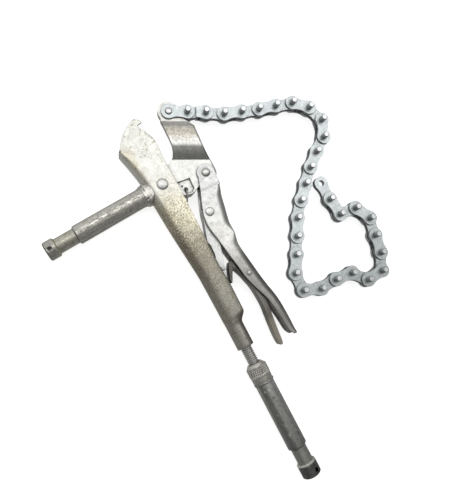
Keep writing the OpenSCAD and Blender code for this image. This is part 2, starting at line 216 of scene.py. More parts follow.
def metal(
    name,
    tone,
    dark,
    metallic=0.9,
    rough=(0.28, 0.5),
    blotch=0.35,
    speck=0.35,
    scratch=0.25,
    scratch_turn=0.0,
    along=None,
    bump=0.12,
    grain=900.0,
    shade=None,
    light=None,
    grains=None,
    crevice_shade=0.35,
    side_face_shade=0.0,
    rim=0.0,
    rim_mm=0.8,
    scribble=0.0,
    calm=None,
    side_face_shade_where=None,
    shut_at=(0.25, 0.85),
    grain_mm=(1.6, 2.1),
    grain_mix=(0.75, 0.6),
):
    """Worn plated steel. along = [(y in mm from the main pivot, colour)] shades it lengthwise."""
    mat = bpy.data.materials.new(name)
    mat.use_nodes = True
    t = mat.node_tree
    t.nodes.clear()
    out = node(t, "ShaderNodeOutputMaterial")
    shader = node(t, "ShaderNodeBsdfPrincipled")
    link(t, shader.outputs["BSDF"], out.inputs["Surface"])
    coord = node(t, "ShaderNodeTexCoord").outputs["Object"]

    if along:
        wob = noise(t, coord, 70.0, 3.0)
        dist = distance_along(t, coord, 0.0, 0.0, 90.0)
        dist = math_node(t, "ADD", dist, math_node(t, "MULTIPLY_ADD", wob, 24.0, -12.0))
        lo, hi = min(y for y, _ in along), max(y for y, _ in along)
        rng = node(t, "ShaderNodeMapRange")
        rng.inputs["From Min"].default_value = lo
        rng.inputs["From Max"].default_value = hi
        link(t, dist, rng.inputs["Value"])
        base = ramp(t, rng.outputs[0], [((y - lo) / (hi - lo), c) for y, c in sorted(along)])
    else:
        base = ramp(
            t,
            noise(t, coord, 90.0, 4.0),
            [(0.35, tuple(0.93 * c for c in tone)), (0.65, tone)],
        )
    if shade:
        base = shade(t, coord, base)
    # soft stains, mottling, fine pits, then scratches
    stain = ramp(t, noise(t, coord, 130.0, 5.0, 0.65), [(0.40, (0, 0, 0)), (0.72, (1, 1, 1))])
    col = mix(t, math_node(t, "MULTIPLY", stain, blotch), base, dark)
    wear = noise(t, coord, 330.0, 3.0, 0.6)
    wear = math_node(t, "ABSOLUTE", math_node(t, "SUBTRACT", wear, 0.5))
    wear = ramp(t, wear, [(0.008, (1, 1, 1)), (0.035, (0, 0, 0))])
    patch = ramp(t, noise(t, coord, 210.0, 2.0), [(0.45, (0, 0, 0)), (0.6, (1, 1, 1))])
    wear = math_node(t, "MULTIPLY", wear, patch)
    rub = steps(t, distance_along(t, coord, 0.0, 0.0, 90.0), calm) if calm else 1.0
    col = mix(t, math_node(t, "MULTIPLY", math_node(t, "MULTIPLY", wear, rub), 1.1 * speck, clamp=True), col, dark)
    if light:
        # light and dark grains within the stretch given by grains: wear marks, which on the handle also carry painted
        # highlight
        where = steps(t, distance_along(t, coord, 0.0, 0.0, 90.0), grains) if grains else 0.8
        grain_a = ramp(t, noise(t, coord, 1000.0 / grain_mm[0], 3.0, 0.6), [(0.50, (0, 0, 0)), (0.58, (1, 1, 1))])
        turned = stretched(t, coord, 35.0, 1.0, 1.0, 1.0)
        grain_b = ramp(t, noise(t, turned, 1000.0 / grain_mm[1], 3.0, 0.6), [(0.50, (0, 0, 0)), (0.60, (1, 1, 1))])
        col = mix(t, math_node(t, "MULTIPLY", grain_a, math_node(t, "MULTIPLY", where, grain_mix[0])), col, light)
        col = mix(t, math_node(t, "MULTIPLY", grain_b, math_node(t, "MULTIPLY", where, grain_mix[1])), col, dark)
    pits = ramp(t, noise(t, coord, grain, 2.0, 0.7), [(0.60, (0, 0, 0)), (0.66, (1, 1, 1))])
    col = mix(t, math_node(t, "MULTIPLY", math_node(t, "MULTIPLY", pits, rub), speck), col, tuple(0.5 * c for c in dark))
    vec = stretched(t, coord, scratch_turn, 2600.0, 90.0, 900.0)
    lines = ramp(t, noise(t, vec, 1.0, 2.0, 0.5), [(0.63, (0, 0, 0)), (0.7, (1, 1, 1))])
    col = mix(t, math_node(t, "MULTIPLY", lines, scratch), col, tuple(min(1.0, 1.35 * c) for c in tone))
    # painted shade on upright faces, where the mask allows
    if side_face_shade:
        edge = math_node(t, "MULTIPLY", upright(t, 0.5, 0.95), side_face_shade)
        if side_face_shade_where:
            edge = math_node(t, "MULTIPLY", edge, side_face_shade_where(t, coord))
        col = mix(t, edge, col, tuple(0.4 * c for c in dark))
    if scribble:
        curl = noise(t, coord, 120.0, 2.0, 0.5)
        curl = ramp(t, math_node(t, "ABSOLUTE", math_node(t, "SUBTRACT", curl, 0.5)), [(0.004, (1, 1, 1)), (0.014, (0, 0, 0))])
        broken = ramp(t, noise(t, coord, 300.0, 2.0), [(0.42, (0, 0, 0)), (0.5, (1, 1, 1))])
        col = mix(t, math_node(t, "MULTIPLY", math_node(t, "MULTIPLY", curl, broken), scribble), col, dark)
    if rim:
        # dirt and shadow along sharp edges, where a rounded normal leaves the face normal
        eased = node(t, "ShaderNodeBevel", samples=4)
        eased.inputs["Radius"].default_value = rim_mm * MM
        turn = node(t, "ShaderNodeVectorMath", operation="DOT_PRODUCT")
        link(t, eased.outputs["Normal"], turn.inputs[0])
        link(t, node(t, "ShaderNodeNewGeometry").outputs["Normal"], turn.inputs[1])
        line_mask = ramp(t, turn.outputs["Value"], [(0.80, (1, 1, 1)), (0.985, (0, 0, 0))])
        col = mix(t, math_node(t, "MULTIPLY", line_mask, rim), col, tuple(0.35 * c for c in dark))
    # painted shade: darker in crevices, corners and between parts, from ambient occlusion
    near = node(t, "ShaderNodeAmbientOcclusion", samples=5)
    near.inputs["Distance"].default_value = 0.005
    open_sky = ramp(t, near.outputs["AO"], [(shut_at[0], (0, 0, 0)), (shut_at[1], (1, 1, 1))])
    shut = node(t, "ShaderNodeMix", data_type="RGBA", blend_type="MULTIPLY")
    shut.inputs[0].default_value = 1.0
    link(t, col, shut.inputs[6])
    link(t, ramp(t, open_sky, [(0.0, (crevice_shade, crevice_shade, crevice_shade)), (1.0, (1, 1, 1))]), shut.inputs[7])
    col = shut.outputs[2]
    link(t, col, shader.inputs["Base Color"])
    shader.inputs["Metallic"].default_value = metallic
    rr = node(t, "ShaderNodeMapRange")
    link(t, noise(t, coord, 240.0, 4.0), rr.inputs["Value"])
    rr.inputs["From Min"].default_value = 0.3
    rr.inputs["From Max"].default_value = 0.7
    rr.inputs["To Min"].default_value = rough[0]
    rr.inputs["To Max"].default_value = rough[1]
    link(t, rr.outputs[0], shader.inputs["Roughness"])
    b = node(t, "ShaderNodeBump")
    b.inputs["Strength"].default_value = bump
    b.inputs["Distance"].default_value = 0.0003
    link(t, noise(t, coord, 700.0, 4.0, 0.65), b.inputs["Height"])
    link(t, b.outputs["Normal"], shader.inputs["Normal"])
    return mat


CREAM = (0.86, 0.85, 0.80)
WHITE = (0.88, 0.89, 0.88)
BROWN = (0.50, 0.45, 0.37)
UMBER = (0.26, 0.23, 0.18)
GREY = (0.52, 0.51, 0.48)
SLATE = (0.34, 0.33, 0.31)

def side_shade_zone(t, coord):
    """Where painted shade goes on the handle's upright faces: round the nose and along the open side, full in the
    nose notch and about half elsewhere.
    """
    across = steps(t, distance_along(t, coord, 0.0, 0.0, 0.0), [(-30.0, 0.0), (-5.0, 0.0), (3.0, 1.0), (40.0, 1.0)])
    ahead = steps(t, distance_along(t, coord, 0.0, 0.0, 90.0), [(-200.0, 0.0), (36.5, 0.0), (38.5, 1.0), (80.0, 1.0)])
    notch = math_node(
        t,
        "MULTIPLY",
        steps(t, distance_along(t, coord, 0.0, 0.0, 0.0), [(-30.0, 0.0), (-2.0, 0.0), (0.0, 1.0), (12.0, 1.0)]),
        steps(t, distance_along(t, coord, 0.0, 0.0, 90.0), [(0.0, 0.0), (45.0, 0.0), (47.0, 1.0), (56.0, 1.0), (58.0, 0.0), (80.0, 0.0)]),
    )
    return math_node(t, "MULTIPLY", math_node(t, "MAXIMUM", across, ahead), math_node(t, "MULTIPLY_ADD", notch, 0.53, 0.47))


def jaw_shade(t, coord, base):
    """Painted shade on the sloped flank above the step and on the band under the chain, a brassy mid part with dark
    spots and painted glints, a painted dark line along the right-hand edge.
    """
    v = distance_along(t, coord, 0.0, 0.0, 65.7)
    v = math_node(t, "ADD", v, math_node(t, "MULTIPLY_ADD", noise(t, coord, 260.0, 3.0), 0.8, -0.4))
    warm = math_node(
        t,
        "MULTIPLY",
        steps(t, v, [(20.0, 0.0), (38.0, 0.0), (42.0, 0.25), (45.5, 0.95), (50.0, 0.85), (53.0, 0.3), (60.0, 0.0)]),
        noise(t, coord, 330.0, 3.0),
    )
    col = mix(t, warm, base, (0.58, 0.49, 0.33))
    mid = steps(t, v, [(20.0, 0.0), (31.0, 0.0), (35.0, 0.2), (41.0, 0.38), (46.0, 0.72), (52.0, 0.6), (56.0, 0.0), (60.0, 0.0)])
    spots = ramp(t, noise(t, coord, 620.0, 3.0, 0.7), [(0.44, (0, 0, 0)), (0.56, (1, 1, 1))])
    col = mix(t, math_node(t, "MULTIPLY", mid, spots), col, (0.25, 0.225, 0.17))
    shine = steps(t, v, [(20.0, 0.0), (34.5, 0.0), (36.5, 0.6), (41.0, 0.68), (44.5, 0.3), (48.0, 0.1), (60.0, 0.0)])
    glint = ramp(t, noise(t, stretched(t, coord, 20.0, 1.0, 0.7, 1.0), 520.0, 3.0, 0.65), [(0.46, (0, 0, 0)), (0.56, (1, 1, 1))])
    col = mix(t, math_node(t, "MULTIPLY", shine, glint), col, (0.97, 0.96, 0.92))
    # painted shade on the sloped flank above the step and on the band under the chain
    low = steps(
        t,
        v,
        [(20.0, 0.0), (21.2, 0.0), (21.5, 0.9), (26.0, 0.92), (34.0, 0.95), (36.6, 0.1), (38.5, 0.0), (43.0, 0.08), (48.0, 0.3), (51.0, 0.5), (52.5, 0.85), (55.4, 0.85), (56.2, 0.0), (70.0, 0.0)],
    )
    col = mix(t, low, col, (0.15, 0.15, 0.147))
    # painted reflection: a dark line along the right-hand edge
    out = math_node(t, "MAXIMUM", distance_along(t, coord, 48.8, 35.4, 30.9), distance_along(t, coord, 48.8, 35.4, -3.5))
    out = math_node(t, "ADD", out, math_node(t, "MULTIPLY_ADD", noise(t, coord, 300.0, 2.0), 0.9, -0.45))
    edge = math_node(t, "MULTIPLY", steps(t, out, [(-8.0, 0.0), (-1.7, 0.0), (-0.8, 0.9), (2.0, 0.9)]), steps(t, v, [(-40.0, 1.0), (53.0, 1.0), (55.0, 0.0), (80.0, 0.0)]))
    return mix(t, edge, col, (0.08, 0.08, 0.077))


def handle_shade(t, coord, base):
    """Browner and darker towards the bend, the plate's own brown with painted shade; a painted highlight with wear
    marks along the open side under the pivot; a yellow tint on the flats near the nose; painted shade on the rolled
    right-hand edge towards the rear.
    """
    x = distance_along(t, coord, 0.0, 0.0, 0.0)
    y = distance_along(t, coord, 0.0, 0.0, 90.0)
    x = math_node(t, "ADD", x, math_node(t, "MULTIPLY_ADD", noise(t, coord, 160.0, 3.0), 8.0, -4.0))
    # painted shade with the plate's own brown: darker and browner towards the bend
    bend_brown_and_shade = math_node(
        t,
        "MULTIPLY",
        steps(t, x, [(-18.0, 1.0), (-9.0, 0.9), (-2.0, 0.35), (4.0, 0.0), (14.0, 0.0)]),
        steps(t, y, [(-150.0, 0.15), (-110.0, 0.3), (-60.0, 0.5), (-28.0, 0.45), (-12.0, 0.1), (-2.0, 0.0), (60.0, 0.0)]),
    )
    col = mix(t, bend_brown_and_shade, base, (0.19, 0.16, 0.105))
    # painted highlight with wear marks along the open side under the pivot
    wear_and_sheen = math_node(
        t,
        "MULTIPLY",
        steps(t, x, [(-18.0, 0.0), (-5.0, 0.0), (3.0, 0.7), (8.0, 0.9), (14.0, 0.9)]),
        steps(t, y, [(-150.0, 0.0), (-58.0, 0.0), (-47.0, 0.25), (-37.0, 0.62), (-20.0, 0.7), (-10.0, 0.1), (60.0, 0.0)]),
    )
    col = mix(t, wear_and_sheen, col, (0.90, 0.85, 0.68))
    tint = math_node(
        t,
        "MULTIPLY",
        steps(t, x, [(-24.0, 0.7), (-13.5, 0.6), (-9.5, 0.25), (-6.0, 0.0), (14.0, 0.0)]),
        steps(t, y, [(-150.0, 0.0), (-6.0, 0.0), (4.0, 0.7), (22.0, 1.0), (34.0, 0.8), (42.0, 0.0), (60.0, 0.0)]),
    )
    tint = math_node(t, "MULTIPLY", tint, math_node(t, "SUBTRACT", 1.0, upright(t, 0.45, 0.85)))
    col = mix(t, tint, col, (0.60, 0.53, 0.34))
    # painted shade on the rolled right-hand edge towards the rear
    rolled_edge_shade = math_node(
        t,
        "MULTIPLY",
        steps(t, x, [(-18.0, 0.0), (4.0, 0.0), (8.0, 0.9), (14.0, 1.0)]),
        steps(t, y, [(-150.0, 0.1), (-118.0, 0.4), (-90.0, 0.5), (-76.0, 0.1), (-60.0, 0.0), (60.0, 0.0)]),
    )
    return mix(t, rolled_edge_shade, col, (0.15, 0.14, 0.115))


handle_mat = metal(
    "handle_plate",
    CREAM,
    (0.22, 0.185, 0.115),
    rough=(0.27, 0.44),
    blotch=0.10,
    speck=0.5,
    scratch=0.2,
    bump=0.35,
    light=(0.93, 0.90, 0.76),
    grains=[(-150, 0.2), (-110, 0.22), (-75, 0.3), (-55, 0.55), (-40, 0.85), (-20, 0.8), (-8, 0.3), (8, 0.05), (70, 0.05)],
    grain_mm=(1.0, 1.3),
    grain_mix=(0.84, 0.78),
    side_face_shade=0.95,
    side_face_shade_where=side_shade_zone,
    rim=0.5,
    rim_mm=0.9,
    scribble=0.6,
    shade=handle_shade,
    calm=[(-160, 1.0), (-15, 1.0), (10, 0.35), (70, 0.35)],
    # lengthwise tone: the plate's own cream, brown and grey, partly painted light that is brightest at the nose
    along=[
        (-147, (0.44, 0.43, 0.40)),
        (-115, (0.40, 0.39, 0.345)),
        (-100, (0.41, 0.395, 0.35)),
        (-80, (0.33, 0.315, 0.27)),
        (-65, (0.29, 0.265, 0.215)),
        (-50, (0.30, 0.265, 0.20)),
        (-35, (0.60, 0.55, 0.40)),
        (-20, (0.66, 0.62, 0.48)),
        (-6, (0.79, 0.785, 0.73)),
        (20, (0.775, 0.775, 0.735)),
        (60, (0.745, 0.75, 0.70)),
    ],
)
bright_mat = metal("bright_plate", (0.80, 0.805, 0.79), SLATE, rough=(0.28, 0.45), blotch=0.12, speck=0.3, scratch=0.2, rim=0.6)
jaw_mat = metal("jaw_plate", (0.76, 0.76, 0.735), (0.40, 0.38, 0.32), rough=(0.24, 0.42), blotch=0.12, speck=0.4, scratch=0.2, shade=jaw_shade, side_face_shade=0.5, shut_at=(0.42, 0.8), crevice_shade=0.12, rim=0.75, rim_mm=1.0)
def rivet_shade(t, coord, base):
    """Domed heads: a painted highlight on the flank facing 107 degrees, painted shade on the flank facing -73
    degrees.
    """
    base = mix(t, math_node(t, "MULTIPLY", facing(t, 107.0, -0.1, 0.35), 0.75), base, (0.93, 0.93, 0.92))
    return mix(t, math_node(t, "MULTIPLY", facing(t, -73.0, 0.12, 0.6), 0.6), base, (0.22, 0.22, 0.215))


rivet_mat = metal("rivet_steel", (0.72, 0.72, 0.705), SLATE, rough=(0.25, 0.38), blotch=0.2, speck=0.45, scratch=0.05, crevice_shade=0.6, bump=0.3, shade=rivet_shade)
stud_mat = metal("stud_steel", (0.58, 0.58, 0.56), SLATE, rough=(0.3, 0.42), blotch=0.25, speck=0.4, scratch=0.05, crevice_shade=0.2, shut_at=(0.45, 0.95))
def lever_shade(t, coord, base):
    """Painted shade on the bend along the web, on faces that look towards +x, but for the white bulge in its middle.
    """
    y = distance_along(t, coord, 0.0, 0.0, 90.0)
    where = steps(t, y, [(-165.0, 0.4), (-110.0, 0.5), (-84.0, 0.75), (-73.0, 0.1), (-58.0, 0.1), (-50.0, 0.55), (-22.0, 0.38), (-17.0, 0.25), (10.0, 0.3)])
    return mix(t, math_node(t, "MULTIPLY", facing(t, 0.0, 0.12, 0.62), where), base, (0.10, 0.10, 0.097))


lever_mat = metal(
    "lever_plate",
    CREAM,
    SLATE,
    rough=(0.3, 0.48),
    blotch=0.25,
    speck=0.4,
    scratch=0.2,
    rim=0.6,
    rim_mm=0.8,
    scribble=0.5,
    shade=lever_shade,
    along=[
        (-160, (0.38, 0.37, 0.36)),
        (-110, (0.37, 0.36, 0.345)),
        (-85, (0.50, 0.49, 0.46)),
        (-66, (0.86, 0.855, 0.83)),
        (-55, (0.84, 0.835, 0.80)),
        (-30, (0.78, 0.785, 0.775)),
        (5, (0.74, 0.75, 0.745)),
    ],
)
release_mat = metal(
    "release_plate",
    GREY,
    UMBER,
    rough=(0.3, 0.5),
    blotch=0.3,
    speck=0.35,
    along=[
        (-160, (0.46, 0.42, 0.37)),
        (-150, (0.44, 0.40, 0.34)),
        (-140, (0.30, 0.275, 0.22)),
        (-131, (0.17, 0.16, 0.145)),
        (-116, (0.30, 0.29, 0.275)),
        (-104, (0.22, 0.215, 0.205)),
        (-94, (0.10, 0.10, 0.096)),
        (-80, (0.10, 0.10, 0.096)),
    ],
)
def spigot_bands(x, y, turn, body, neck, tip, pale_at=(0.84, 0.82, 0.75), collar=0.5, fade=0.0, streak=0.5, length=170.0, pale_mark=(0.72, 0.71, 0.65), wear_and_sheen=((-9.0, 1.0), (9.0, 1.0)), stripe=0.0, lit=0.0, chips=0.0):
    """Ring marks along a spigot: paler neck, bright ring before the dark collar, dark end rim; lengthwise streaks
    that are partly wear and partly painted highlight; with lit, a painted highlight on the crest and a painted
    reflection of the floor on the lower flank; with stripe, a painted dark reflection along the flank facing -x.
    """

    def shade(t, coord, base):
        d = distance_along(t, coord, x, y, turn)
        lie = node(t, "ShaderNodeMapping")
        lie.inputs["Rotation"].default_value = (0.0, 0.0, math.radians(-turn))
        lie.inputs["Scale"].default_value = (1.0, 1.0, 1.0)
        link(t, coord, lie.inputs["Vector"])
        long = stretched(t, lie.outputs["Vector"], 0.0, length, 620.0, 620.0)
        pale_streak = ramp(t, noise(t, long, 1.0, 4.0, 0.65), [(0.50, (0, 0, 0)), (0.56, (1, 1, 1))])
        dark_streak = ramp(t, noise(t, stretched(t, long, 0.0, 1.3, 1.1, 0.9), 1.0, 4.0, 0.65), [(0.53, (0, 0, 0)), (0.58, (1, 1, 1))])
        across = distance_along(t, coord, x, y, turn + 90.0)
        band = steps(t, across, wear_and_sheen)
        # lengthwise streaks across a band: wear marks that also carry a painted highlight
        base = mix(t, math_node(t, "MULTIPLY", pale_streak, math_node(t, "MULTIPLY", band, streak)), base, pale_mark)
        base = mix(t, math_node(t, "MULTIPLY", dark_streak, math_node(t, "MULTIPLY", band, streak)), base, (0.14, 0.13, 0.11))
        if lit:
            # painted highlight on the flank facing turn - 90, painted reflection of the floor on the flank facing
            # turn + 90
            crest = math_node(t, "MULTIPLY_ADD", facing(t, turn - 90.0, 0.6, 0.9), -0.45, facing(t, turn - 90.0, 0.18, 0.42))
            base = mix(t, math_node(t, "MULTIPLY", crest, lit), base, (0.97, 0.955, 0.88))
            low = math_node(t, "SUBTRACT", facing(t, turn + 90.0, 0.42, 0.6), facing(t, turn + 90.0, 0.84, 0.95))
            base = mix(t, math_node(t, "MULTIPLY", low, 0.9 * lit), base, (0.88, 0.87, 0.82))
        if stripe:
            # painted dark reflection along the flank facing -x
            lee = math_node(t, "SUBTRACT", facing(t, 180.0, 0.2, 0.45), facing(t, 180.0, 0.82, 0.92))
            base = mix(t, math_node(t, "MULTIPLY", lee, stripe), base, (0.12, 0.115, 0.105))
        if chips:
            spots = ramp(t, noise(t, stretched(t, coord, 17.0, 1.0, 0.7, 1.0), 430.0, 2.0, 0.5), [(0.66, (0, 0, 0)), (0.69, (1, 1, 1))])
            base = mix(t, math_node(t, "MULTIPLY", spots, chips), base, (0.95, 0.95, 0.93))
            dents = ramp(t, noise(t, stretched(t, coord, -31.0, 1.0, 0.6, 1.0), 360.0, 2.0, 0.5), [(0.66, (0, 0, 0)), (0.69, (1, 1, 1))])
            base = mix(t, math_node(t, "MULTIPLY", dents, 0.8 * chips), base, (0.10, 0.095, 0.09))
        pale = steps(t, d, [(body - 4, 0.0), (body + 0.2, 0.0), (body + 0.8, 0.55), (neck - 0.4, 0.55), (neck - 0.1, 1.0), (neck + 1.3, 1.0), (neck + 1.7, 0.0), (tip + 2, 0.0)])
        col = mix(t, pale, base, pale_at)
        dull = steps(t, d, [(body - 60, 0.0), (body - 6, fade), (body - 0.6, fade + 0.2), (body + 0.1, 0.7), (body + 0.5, fade), (neck - 0.4, fade), (neck - 0.1, 0.0), (neck + 1.5, 0.0), (neck + 2.0, collar), (tip - 1.1, collar), (tip - 0.6, 0.95), (tip + 2, 0.95)])
        return mix(t, dull, col, (0.10, 0.10, 0.096))

    return shade


side_mat = metal(
    "side_spigot_steel",
    (0.47, 0.465, 0.42),
    (0.20, 0.19, 0.16),
    rough=(0.29, 0.45),
    blotch=0.25,
    speck=0.45,
    scratch=0.4,
    bump=0.3,
    scratch_turn=95.0,
    light=(0.84, 0.82, 0.72),
    grain_mix=(0.32, 0.3),
    grain_mm=(1.1, 1.5),
    rim=0.35,
    shade=spigot_bands(-13.7, -1.0, 185.0, 64.7, 80.9, 90.0, (0.63, 0.615, 0.48), 0.2, 0.0, 0.95, 150.0, (1.0, 0.985, 0.91), ((-9.0, 0.25), (-5.0, 0.35), (-3.4, 1.0), (0.6, 1.0), (1.8, 0.2), (9.0, 0.3)), 0.0, 0.85, 0.5),
)
def weld_shade(t, coord, base):
    """Dark lines between the runs of the weld."""
    d = distance_along(t, coord, -13.7, -1.0, 185.0)
    d = math_node(t, "ADD", d, math_node(t, "MULTIPLY_ADD", noise(t, coord, 300.0, 3.0), 2.4, -1.2))
    ring = steps(t, d, [(-5.0, 0.0), (-1.6, 0.0), (-1.2, 0.6), (-0.8, 0.0), (1.4, 0.0), (1.8, 0.75), (2.2, 0.0), (4.0, 0.1), (4.8, 0.7), (6.0, 0.7)])
    return mix(t, ring, base, (0.20, 0.185, 0.16))


weld_mat = metal(
    "weld_bead",
    (0.86, 0.85, 0.81),
    (0.30, 0.285, 0.25),
    shade=weld_shade,
    rough=(0.28, 0.42),
    blotch=0.3,
    speck=0.4,
    scratch=0.0,
    light=(0.9, 0.88, 0.8),
)
rear_mat = metal(
    "rear_spigot_steel",
    (0.56, 0.56, 0.545),
    (0.20, 0.195, 0.18),
    rough=(0.24, 0.4),
    blotch=0.25,
    speck=0.5,
    scratch=0.4,
    bump=0.22,
    light=(0.8, 0.8, 0.77),
    grain_mix=(0.1, 0.12),
    rim=0.35,
    shade=spigot_bands(0.0, 0.0, -90.0, 236.4, 249.6, 261.5, (0.8, 0.79, 0.74), 0.97, 0.46, 0.5, 60.0, (0.75, 0.75, 0.72), ((-9.0, 0.9), (-5.0, 0.5), (0.0, 0.4), (5.0, 0.5), (9.0, 0.9)), 0.5, 0.0, 0.85),
)
def groove_shade(t, coord, base):
    """Painted shade in the grooves of the knurl, found by their distance from the screw's axis, and a darker smooth
    ring next to the knurl.
    """
    sep = node(t, "ShaderNodeSeparateXYZ")
    link(t, coord, sep.inputs[0])
    dx = math_node(t, "MULTIPLY_ADD", sep.outputs["X"], 1000.0, -OX)
    dz = math_node(t, "MULTIPLY_ADD", sep.outputs["Z"], 1000.0, -OZ)
    r = math_node(t, "SQRT", math_node(t, "ADD", math_node(t, "MULTIPLY", dx, dx), math_node(t, "MULTIPLY", dz, dz)))
    y = distance_along(t, coord, 0.0, 0.0, -90.0)
    band = steps(t, y, [(160.0, 0.0), (164.7, 0.0), (164.9, 1.0), (171.8, 1.0), (172.0, 0.0), (180.0, 0.0)])
    # painted shade in the knurl grooves
    low = steps(t, r, [(7.0, 1.0), (8.27, 1.0), (8.6, 0.0), (10.0, 0.0)])
    ring = steps(t, y, [(160.0, 0.0), (172.3, 0.0), (173.0, 0.55), (178.5, 0.6), (180.0, 0.6)])
    base = mix(t, ring, base, (0.24, 0.235, 0.22))
    return mix(t, math_node(t, "MULTIPLY", band, low), base, (0.15, 0.145, 0.125))


knob_mat = metal("knob_steel", (0.86, 0.84, 0.77), (0.24, 0.23, 0.19), rough=(0.3, 0.45), blotch=0.25, speck=0.3, scratch=0.05, light=(0.95, 0.94, 0.86), grain_mix=(0.3, 0.2), shade=groove_shade)
thread_mat = metal("thread_steel", (0.86, 0.85, 0.82), (0.34, 0.33, 0.30), rough=(0.25, 0.4), blotch=0.2, speck=0.2, scratch=0.05)


def pin_shade(t, coord, base):
    """Painted highlight on the pin ends above the plates, painted shade on upright faces, and painted shade towards
    the free end of the chain.
    """
    sep = node(t, "ShaderNodeSeparateXYZ")
    link(t, coord, sep.inputs[0])
    above = math_node(t, "ABSOLUTE", math_node(t, "SUBTRACT", math_node(t, "MULTIPLY", sep.outputs["Z"], 1000.0), OZ))
    col = mix(t, steps(t, above, [(0.0, 0.0), (4.3, 0.0), (4.6, 1.0), (12.0, 1.0)]), base, (0.90, 0.91, 0.91))
    level = math_node(t, "SUBTRACT", math_node(t, "MULTIPLY", sep.outputs["Z"], 1000.0), OZ)
    side = ramp(t, steps(t, level, [(-12.0, 1.0), (-0.9, 1.0), (-0.4, 0.0), (12.0, 0.0)]), [(0.0, (0.225, 0.236, 0.238)), (1.0, (0.54, 0.57, 0.57))])
    # painted shade: darker towards the free end of the chain, where the light falls off
    far = steps(t, distance_along(t, coord, 0.0, 0.0, -40.0), [(50.0, 0.0), (122.0, 0.0), (150.0, 0.14), (180.0, 0.32), (220.0, 0.32)])
    col = mix(t, far, col, (0.36, 0.385, 0.375))
    # painted shade on upright faces: darker on the pins and upper plates, lighter on the lower plates
    return mix(t, math_node(t, "MULTIPLY", upright(t, 0.62, 0.97), 0.9), col, side)


zinc_mat = metal(
    "zinc_plate",
    (0.645, 0.692, 0.70),
    (0.36, 0.39, 0.40),
    rough=(0.3, 0.42),
    blotch=0.2,
    speck=0.25,
    scratch=0.1,
    shade=pin_shade,
    light=(0.86, 0.88, 0.88),
    grain_mix=(0.38, 0.32),
    crevice_shade=0.4,
    rim=0.75,
    rim_mm=0.7,
)
spring_mat = metal("spring_wire", (0.45, 0.44, 0.42), (0.16, 0.16, 0.15), rough=(0.25, 0.4), blotch=0.2, speck=0.2, scratch=0.05)

# ---------------------------------------------------------------- mesh helpers


def make(name, verts, faces, body, mat, angle=40.0):
    """A new piece from points in mm measured from the main pivot."""
    mesh = bpy.data.meshes.new(name)
    mesh.from_pydata([at(*v) for v in verts], [], faces)
    mesh.validate()
    obj = bpy.data.objects.new(name, mesh)
    scene.collection.objects.link(obj)
    mesh.materials.append(mat)
    for p in mesh.polygons:
        p.use_smooth = True
    mesh.set_sharp_from_angle(angle=math.radians(angle))
    if body:
        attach(obj, body)
    return obj


def bake(obj, angle=40.0):
    """Turns the modifiers of a new piece into its mesh."""
    deps = bpy.context.evaluated_depsgraph_get()
    mesh = bpy.data.meshes.new_from_object(obj.evaluated_get(deps))
    obj.modifiers.clear()
    old = obj.data
    obj.data = mesh
    mesh.name = obj.name
    bpy.data.meshes.remove(old)
    for p in mesh.polygons:
        p.use_smooth = True
    mesh.set_sharp_from_angle(angle=math.radians(angle))
    return obj


NF, NA, NW = 9, 8, 3


def half_contour(s):
    """Outer line of one half of a formed channel at one station, free edge to mid web."""
    side = 1.0 if s["free"] > s["web"] else -1.0
    r = s["r"]
    xa = s["web"] + side * r
    pts = [
        (s["free"] + (xa - s["free"]) * i / (NF - 1), s["h"]) for i in range(NF)
    ]
    if s.get("plate"):
        return [
            (s["free"] + (s["web"] - s["free"]) * i / (NF - 1), s["h"])
            for i in range(NF)
        ]
    roll = s.get("roll", 0.0)
    pts = [(x, z - roll * max(0.0, 1.0 - abs(x - s["free"]) / 7.0) ** 2) for x, z in pts]
    for i in range(1, NA + 1):
        a = math.pi / 2 * i / NA
        pts.append((xa - side * r * math.sin(a), s["h"] - r + r * math.cos(a)))
    for i in range(1, NW + 1):
        pts.append((s["web"], (s["h"] - r) * (1.0 - i / NW)))
    w = s.get("tube", 0.0)
    if w > 0.0:
        run = [0.0]
        for a, b in zip(pts, pts[1:]):
            run.append(run[-1] + math.hypot(b[0] - a[0], b[1] - a[1]))
        cx, rx, rz = s["round"]
        round_pts = [
            (
                cx + side * rx * math.cos(math.pi * (0.015 + 0.985 * d / run[-1])),
                rz * math.sin(math.pi * (0.015 + 0.985 * d / run[-1])),
            )
            for d in run
        ]
        pts = [
            (a[0] + (b[0] - a[0]) * w, a[1] + (b[1] - a[1]) * w)
            for a, b in zip(pts, round_pts)
        ]
    return pts


